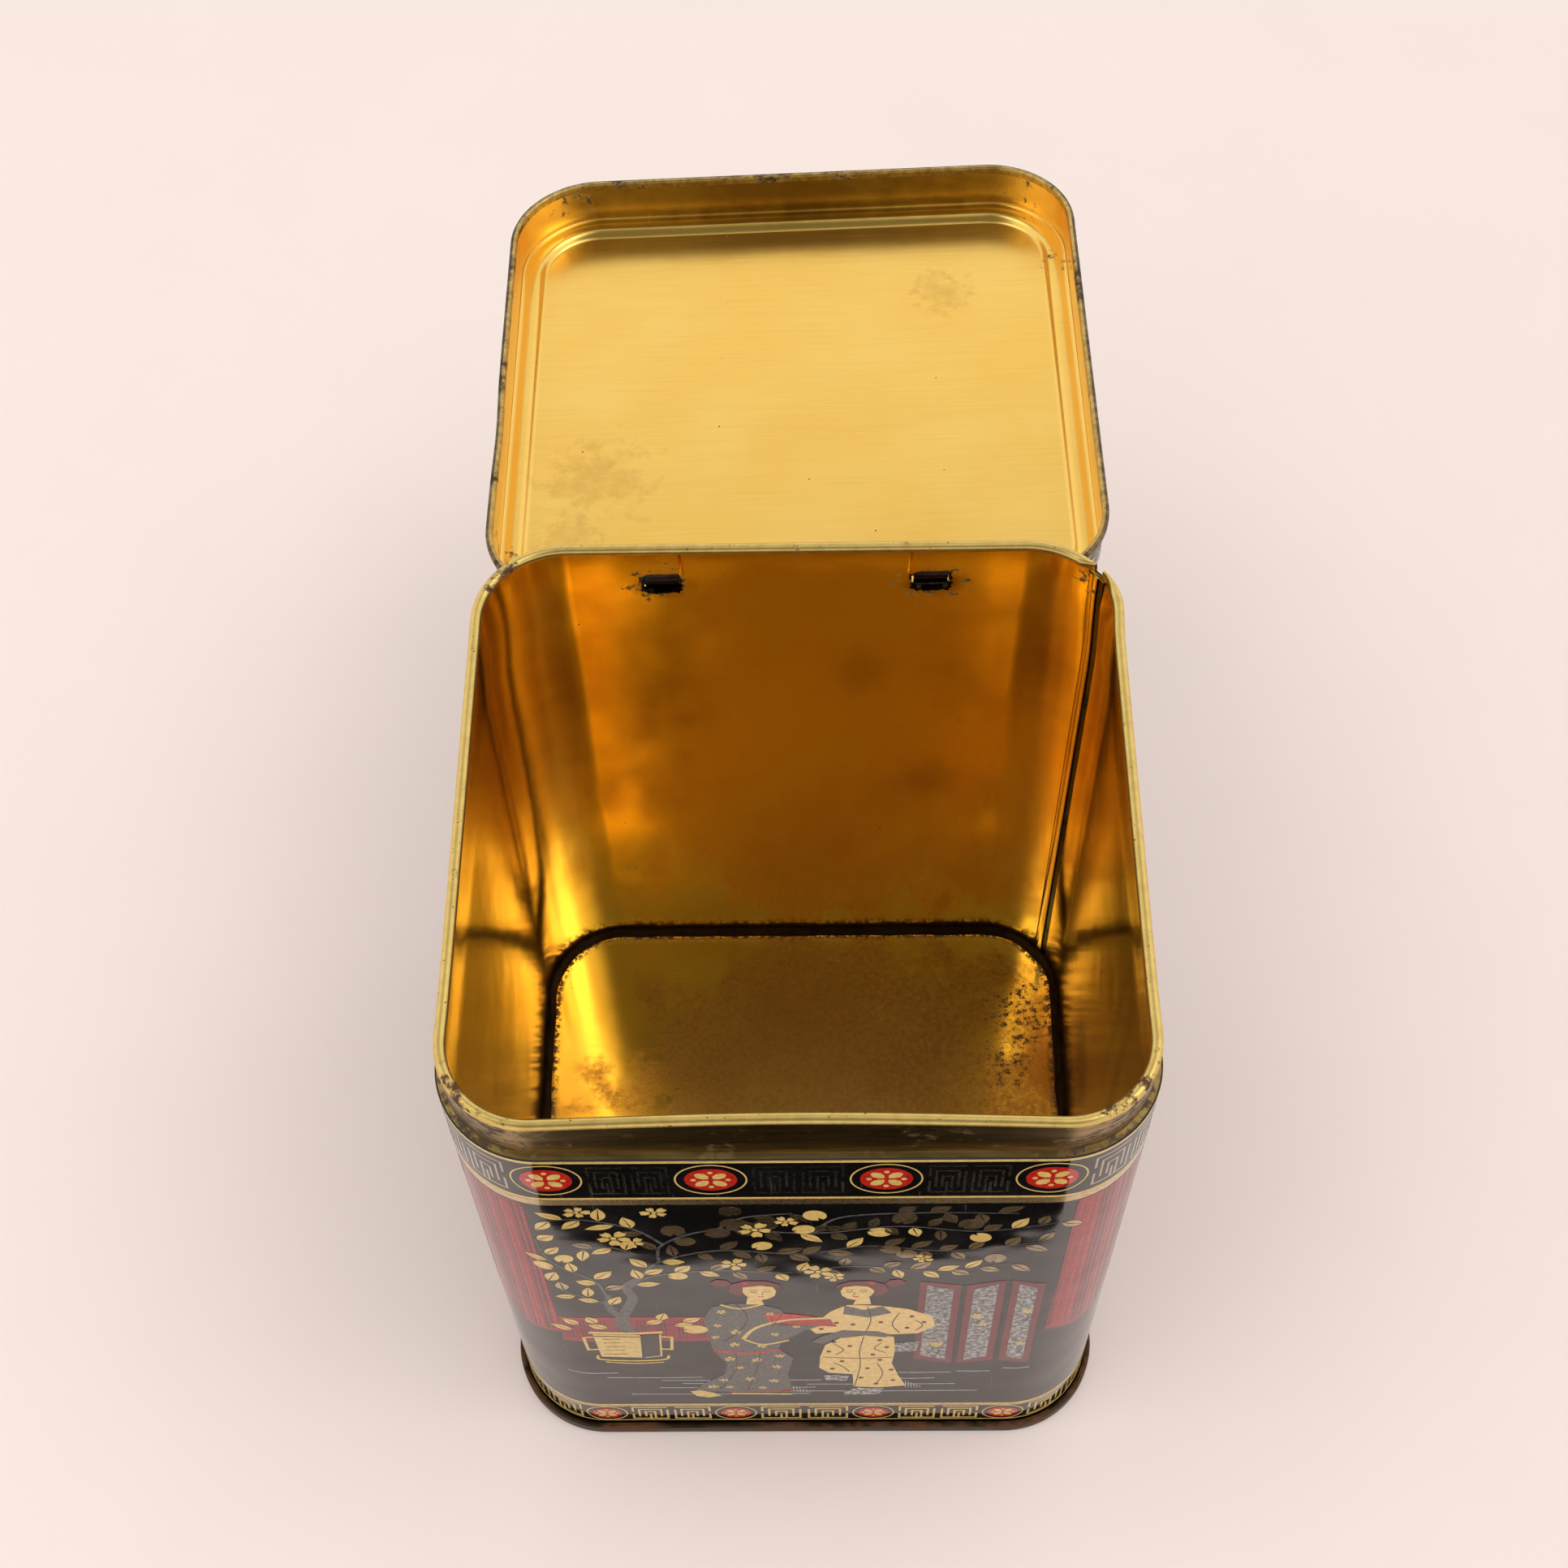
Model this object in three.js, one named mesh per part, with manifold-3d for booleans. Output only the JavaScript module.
// A lithographed tea tin: rounded-square body, seamed base and a hinged slip lid.
// Millimetres, +Z up. The origin is the centre of the base panel's underside.
// The hinge is at the back (+Y). The lid is modelled closed, then swung back to its rest pose.
import * as THREE from 'three';
import { mergeVertices } from 'three/addons/utils/BufferGeometryUtils.js';
import Module from 'manifold-3d';

// Body
const BODY_HALF = 50;            // half of the printed wall's width and depth
const CORNER_RADIUS = 15;        // outer corner radius of the printed wall
const SHEET = 0.4;               // tinplate with its lacquer and print
const RIM_Z = 122.5;             // top of the curled rim
const NECK_HALF = 48.95;         // half width of the neck under the lid
const SHOULDER_LOW_Z = 113.9;    // the printed wall ends here
const SHOULDER_HIGH_Z = 114.5;   // the neck starts here
const CURL_RADIUS = 0.85;        // outer radius of the inward curl at the rim
const CURL_END_DEG = 250;        // how far the curl is rolled round
const WALL_BOTTOM_Z = -1.8;      // lower edge of the wall, inside the base seam

// Side lock seam, in the back-right corner
const SEAM_ANGLE_DEG = 37;       // position round the corner, from +X towards +Y
const SEAM_WIDTH = 3.1;
const SEAM_RISE = 0.35;
const CURL_GAP_WIDTH = 1.8;      // the curl is notched where the seam ends

// Base
const FOOT_Z = -2.5;             // the seam ring stands on this level
const RING_HALF = 51.25;         // half width of the seam ring
const RING_TOP_Z = 0.6;
const CHANNEL_GAP = 0.3;         // free space round the wall inside the seam
const PANEL_HALF = 48.9;         // half width of the raised base panel

// Hinge
const HINGE_X = 21.1;            // centre of each hinge from the middle of the back
const AXIS_Y = 50.7;             // the axis passes here at the middle of the back
const AXIS_Z = 111.7;
const AXIS_LEAN = 0.0052;        // the right hinge sits a little further back than the left,
const AXIS_RISE = 0.0138;        // and a little higher, per mm of X
const WIRE_RADIUS = 0.5;
const WIRE_LENGTH = 11.6;
const KNUCKLE_RADIUS = 0.95;
const KNUCKLE_BORE = 0.57;
const TONGUE_WIDTH = 5.2;
const EAR_RADIUS = 1.1;
const EAR_BORE = 0.53;
const EAR_WIDTH = 2.4;
const WINDOW_WIDTH = 6.2;
const WINDOW_LOW_Z = 109.9;
const WINDOW_HIGH_Z = 115.8;
const OPEN_ANGLE_DEG = 183.7;    // from closed to the rest pose

// Lid, as it sits when closed
const SKIRT_INNER_HALF = 49.5;
const SKIRT_OUTER_HALF = 49.9;
const HEM_HALF = 50.65;
const HEM_Z = 114.9;             // lower edge of the hem
const HEM_HEIGHT = 1.3;
const LEDGE_Z = 122.85;          // underside of the shoulder, just clear of the rim
const PANEL_Z = 124.0;           // underside of the top panel
const STEP_OUTER_HALF = 48.6;
const STEP_INNER_HALF = 45.2;

const CORNER_STEPS = 7;          // facets in each quarter-round corner
const CORNER_CENTRE = BODY_HALF - CORNER_RADIUS;

const wasm = await Module();
wasm.setup();

const radians = (degrees) => degrees * Math.PI / 180;

// The four quarter arcs of the plan, as [x sign, y sign, angle] stations in order round the tin.
function planStations() {
  const stations = [];
  const corners = [[1, 1, 0], [-1, 1, 90], [-1, -1, 180], [1, -1, 270]];
  for (const [sx, sy, start] of corners) {
    for (let step = 0; step <= CORNER_STEPS; step++) {
      stations.push([sx, sy, radians(start + 90 * step / CORNER_STEPS)]);
    }
  }
  return stations;
}

// A point of the plan outline at a given half width.
function planPoint([sx, sy, angle], half) {
  const reach = half - CORNER_CENTRE;
  return [sx * CORNER_CENTRE + reach * Math.cos(angle), sy * CORNER_CENTRE + reach * Math.sin(angle)];
}

// Sweeps a [half width, z] section round the plan. A closed section makes a ring;
// an open one is capped flat across its two ends and makes a pan.
function sweep(section, closed) {
  const stations = planStations();
  const count = section.length;
  const positions = [];
  const faces = [];
  for (const station of stations) {
    for (const [half, z] of section) positions.push(...planPoint(station, half), z);
  }
  const spans = closed ? count : count - 1;
  for (let s = 0; s < stations.length; s++) {
    const here = s * count;
    const next = ((s + 1) % stations.length) * count;
    for (let i = 0; i < spans; i++) {
      const j = (i + 1) % count;
      faces.push(here + i, next + i, next + j, here + i, next + j, here + j);
    }
  }
  if (!closed) {
    const low = positions.length / 3;
    positions.push(0, 0, section[0][1], 0, 0, section[count - 1][1]);
    for (let s = 0; s < stations.length; s++) {
      const here = s * count;
      const next = ((s + 1) % stations.length) * count;
      faces.push(low, next, here, low + 1, here + count - 1, next + count - 1);
    }
  }
  const geometry = new THREE.BufferGeometry();
  geometry.setAttribute('position', new THREE.Float32BufferAttribute(positions, 3));
  geometry.setIndex(faces);
  return geometry;
}

// Points on an arc of a section, angles in degrees.
function arc(half, z, radius, from, to, steps) {
  const points = [];
  for (let i = 0; i <= steps; i++) {
    const angle = radians(from + (to - from) * i / steps);
    points.push([half + radius * Math.cos(angle), z + radius * Math.sin(angle)]);
  }
  return points;
}

function solid(geometry) {
  const bare = geometry.clone();
  bare.deleteAttribute('normal');
  bare.deleteAttribute('uv');
  const merged = mergeVertices(bare, 1e-5);
  return new wasm.Manifold(new wasm.Mesh({
    numProp: 3,
    vertProperties: new Float32Array(merged.attributes.position.array),
    triVerts: new Uint32Array(merged.index.array),
  }));
}

function geometryOf(manifold) {
  const mesh = manifold.getMesh();
  const geometry = new THREE.BufferGeometry();
  geometry.setAttribute('position', new THREE.Float32BufferAttribute(mesh.vertProperties, 3));
  geometry.setIndex(Array.from(mesh.triVerts));
  return geometry;
}

function block(x0, x1, y0, y1, z0, z1) {
  const geometry = new THREE.BoxGeometry(x1 - x0, y1 - y0, z1 - z0);
  geometry.translate((x0 + x1) / 2, (y0 + y1) / 2, (z0 + z1) / 2);
  return geometry;
}

const axisDirection = new THREE.Vector3(1, AXIS_LEAN, AXIS_RISE).normalize();
const axisY = (x) => AXIS_Y + AXIS_LEAN * x;
const axisZ = (x) => AXIS_Z + AXIS_RISE * x;

// A cylinder on the hinge axis between two X positions.
function hingeCylinder(radius, x0, x1, facets = 16) {
  const geometry = new THREE.CylinderGeometry(radius, radius, x1 - x0, facets);
  geometry.rotateZ(Math.PI / 2);
  geometry.applyQuaternion(new THREE.Quaternion().setFromUnitVectors(new THREE.Vector3(1, 0, 0), axisDirection));
  const middle = (x0 + x1) / 2;
  geometry.translate(middle, axisY(middle), axisZ(middle));
  return geometry;
}

function bodySection() {
  const curlZ = RIM_Z - CURL_RADIUS;
  const curlHalf = NECK_HALF - CURL_RADIUS;
  const inner = CURL_RADIUS - SHEET;
  return [
    [BODY_HALF, WALL_BOTTOM_Z],
    [BODY_HALF, SHOULDER_LOW_Z],
    [NECK_HALF, SHOULDER_HIGH_Z],
    ...arc(curlHalf, curlZ, CURL_RADIUS, 0, CURL_END_DEG, 10),
    ...arc(curlHalf, curlZ, inner, CURL_END_DEG, 0, 6),
    [NECK_HALF - SHEET, SHOULDER_HIGH_Z - SHEET / 2],
    [BODY_HALF - SHEET, SHOULDER_LOW_Z - SHEET / 2],
    [BODY_HALF - SHEET, WALL_BOTTOM_Z],
  ];
}

// A hinge window: straight sides, a rounded top.
function windowCutter(x) {
  const half = WINDOW_WIDTH / 2;
  const bend = 1.6;
  const shape = new THREE.Shape();
  shape.moveTo(-half, WINDOW_LOW_Z);
  shape.lineTo(half, WINDOW_LOW_Z);
  shape.lineTo(half, WINDOW_HIGH_Z - bend);
  shape.quadraticCurveTo(half, WINDOW_HIGH_Z, half - bend, WINDOW_HIGH_Z);
  shape.lineTo(-half + bend, WINDOW_HIGH_Z);
  shape.quadraticCurveTo(-half, WINDOW_HIGH_Z, -half, WINDOW_HIGH_Z - bend);
  shape.closePath();
  const geometry = new THREE.ExtrudeGeometry(shape, { depth: 5, bevelEnabled: false, curveSegments: 4 });
  geometry.rotateX(Math.PI / 2);
  geometry.translate(x, BODY_HALF + 2, 0);
  return geometry;
}

// One ear: a boss round the wire, pressed out of the wall beside the window.
function ear(x0, x1) {
  const boss = solid(hingeCylinder(EAR_RADIUS, x0, x1));
  const y = axisY(x0);
  const z = axisZ((x0 + x1) / 2);
  const web = solid(block(x0, x1, BODY_HALF - SHEET / 2, y, z - EAR_RADIUS, z + EAR_RADIUS));
  const bore = solid(hingeCylinder(EAR_BORE, x0 - 1, x1 + 1));
  return boss.add(web).subtract(bore);
}

// A narrow strip that follows the wall's inner face round the seam corner.
function seamStrip() {
  const radius = CORNER_RADIUS - SHEET;
  const spread = SEAM_WIDTH / 2 / radius;
  const middle = radians(SEAM_ANGLE_DEG);
  const shape = new THREE.Shape();
  const steps = 3;
  for (let i = 0; i <= steps; i++) {
    const angle = middle - spread + 2 * spread * i / steps;
    const reach = radius + SHEET / 2;
    const point = [reach * Math.cos(angle), reach * Math.sin(angle)];
    if (i === 0) shape.moveTo(...point);
    else shape.lineTo(...point);
  }
  for (let i = steps; i >= 0; i--) {
    const angle = middle - spread + 2 * spread * i / steps;
    const reach = radius - SEAM_RISE;
    shape.lineTo(reach * Math.cos(angle), reach * Math.sin(angle));
  }
  shape.closePath();
  const height = SHOULDER_LOW_Z - 1 - (RING_TOP_Z + 1);
  const geometry = new THREE.ExtrudeGeometry(shape, { depth: height, bevelEnabled: false });
  geometry.translate(CORNER_CENTRE, CORNER_CENTRE, RING_TOP_Z + 1);
  return geometry;
}

// The notch in the curl at the top of the seam.
function curlNotch() {
  const geometry = new THREE.BoxGeometry(6, CURL_GAP_WIDTH, CURL_RADIUS * 2);
  geometry.translate(CORNER_RADIUS - 4.6, 0, RIM_Z - CURL_RADIUS + 0.3);
  geometry.rotateZ(radians(SEAM_ANGLE_DEG));
  geometry.translate(CORNER_CENTRE, CORNER_CENTRE, 0);
  return geometry;
}

// The upright rib in the neck between the rim and the inner edge of a window.
function neckRib(side) {
  const x = side * (HINGE_X - WINDOW_WIDTH / 2 - 0.2);
  const face = NECK_HALF - SHEET;
  return block(x - 0.45, x + 0.45, face - 0.3, face + SHEET / 2, WINDOW_LOW_Z + 5, RIM_Z - 2.3);
}

function bodyShell() {
  let shell = solid(sweep(bodySection(), true));
  shell = shell.add(solid(seamStrip()));
  for (const side of [-1, 1]) {
    shell = shell.add(solid(neckRib(side)));
    shell = shell.subtract(solid(windowCutter(side * HINGE_X)));
    for (const end of [-1, 1]) {
      const near = side * HINGE_X + end * WINDOW_WIDTH / 2;
      const far = near + end * EAR_WIDTH;
      shell = shell.add(ear(Math.min(near, far), Math.max(near, far)));
    }
  }
  return shell.subtract(solid(curlNotch()));
}

// The base pan: a raised panel, a leg down inside the wall, and the seam folded up outside it.
function basePlate() {
  const legOuter = BODY_HALF - SHEET - CHANNEL_GAP;
  const foldInner = BODY_HALF + CHANNEL_GAP;
  return solid(sweep([
    [PANEL_HALF - 1.0, 0],
    [PANEL_HALF - 0.5, -0.2],
    [PANEL_HALF - 0.25, -0.8],
    [PANEL_HALF - 0.25, FOOT_Z + 0.3],
    [PANEL_HALF, FOOT_Z],
    [RING_HALF - 0.6, FOOT_Z],
    [RING_HALF, FOOT_Z + 0.6],
    [RING_HALF, RING_TOP_Z - 0.7],
    [RING_HALF - 0.3, RING_TOP_Z - 0.1],
    [RING_HALF - 0.6, RING_TOP_Z],
    [foldInner, RING_TOP_Z - 0.2],
    [foldInner, FOOT_Z + SHEET],
    [legOuter, FOOT_Z + SHEET],
    [legOuter - 0.15, -0.6],
    [legOuter - 0.5, 0.1],
    [legOuter - 1.1, SHEET],
  ], false));
}

function lidSection() {
  return [
    [STEP_INNER_HALF, PANEL_Z],
    [STEP_INNER_HALF + 0.4, PANEL_Z - 0.25],
    [STEP_INNER_HALF + 1.0, LEDGE_Z + 0.25],
    [STEP_INNER_HALF + 1.9, LEDGE_Z],
    [STEP_OUTER_HALF - 0.5, LEDGE_Z],
    [STEP_OUTER_HALF, LEDGE_Z + 0.15],
    [SKIRT_INNER_HALF - 0.3, LEDGE_Z + 0.1],
    [SKIRT_INNER_HALF, LEDGE_Z - 0.3],
    [SKIRT_INNER_HALF, HEM_Z + 0.3],
    [SKIRT_INNER_HALF + 0.3, HEM_Z],
    [HEM_HALF - 0.4, HEM_Z],
    [HEM_HALF, HEM_Z + 0.4],
    [HEM_HALF, HEM_Z + HEM_HEIGHT - 0.4],
    [HEM_HALF - 0.4, HEM_Z + HEM_HEIGHT],
    [SKIRT_OUTER_HALF, HEM_Z + HEM_HEIGHT],
    [SKIRT_OUTER_HALF, LEDGE_Z - 0.1],
    [SKIRT_OUTER_HALF - 0.25, LEDGE_Z + 0.35],
    [SKIRT_OUTER_HALF - 0.7, LEDGE_Z + SHEET + 0.15],
    [STEP_OUTER_HALF - 0.3, LEDGE_Z + SHEET + 0.15],
    [STEP_INNER_HALF + 2.0, LEDGE_Z + SHEET],
    [STEP_INNER_HALF + 1.2, LEDGE_Z + SHEET + 0.2],
    [STEP_INNER_HALF + 0.6, PANEL_Z + 0.1],
    [STEP_INNER_HALF, PANEL_Z + SHEET],
  ];
}

// A tongue runs from the hem down through the window and curls round the wire.
function tongue(x) {
  const x0 = x - TONGUE_WIDTH / 2;
  const x1 = x + TONGUE_WIDTH / 2;
  const back = axisY(x) - KNUCKLE_RADIUS;
  const strap = solid(block(x0, x1, back, back + SHEET, axisZ(x), HEM_Z + 0.6));
  const knuckle = solid(hingeCylinder(KNUCKLE_RADIUS, x0, x1));
  const bore = solid(hingeCylinder(KNUCKLE_BORE, x0 - 1, x1 + 1));
  return knuckle.add(strap).subtract(bore);
}

function lidShell() {
  let lid = solid(sweep(lidSection(), false));
  for (const side of [-1, 1]) lid = lid.add(tongue(side * HINGE_X));
  return lid;
}

// Swings a closed-lid geometry back about the hinge axis to the rest pose.
function swingOpen(geometry) {
  geometry.translate(0, -AXIS_Y, -AXIS_Z);
  geometry.applyMatrix4(new THREE.Matrix4().makeRotationAxis(axisDirection, -radians(OPEN_ANGLE_DEG)));
  geometry.translate(0, AXIS_Y, AXIS_Z);
  return geometry;
}

function node(name, geometry, color, roughness, metalness) {
  geometry.computeVertexNormals();
  const material = new THREE.MeshStandardMaterial({ color, roughness, metalness });
  const mesh = new THREE.Mesh(geometry, material);
  mesh.name = name;
  return mesh;
}

const tin = new THREE.Group();
tin.name = 'lithographed_tin';
tin.add(node('body_shell', geometryOf(bodyShell()), 0x1d1a17, 0.3, 0.4));
tin.add(node('base_plate', geometryOf(basePlate()), 0x6b4a1e, 0.5, 0.7));
tin.add(node('lid_shell', swingOpen(geometryOf(lidShell())), 0xd9a441, 0.35, 0.8));
for (const [name, side] of [['hinge_wire_left', -1], ['hinge_wire_right', 1]]) {
  const middle = side * HINGE_X;
  const wire = hingeCylinder(WIRE_RADIUS, middle - WIRE_LENGTH / 2, middle + WIRE_LENGTH / 2);
  tin.add(node(name, geometryOf(solid(wire)), 0x5a5048, 0.45, 0.9));
}

export default tin;
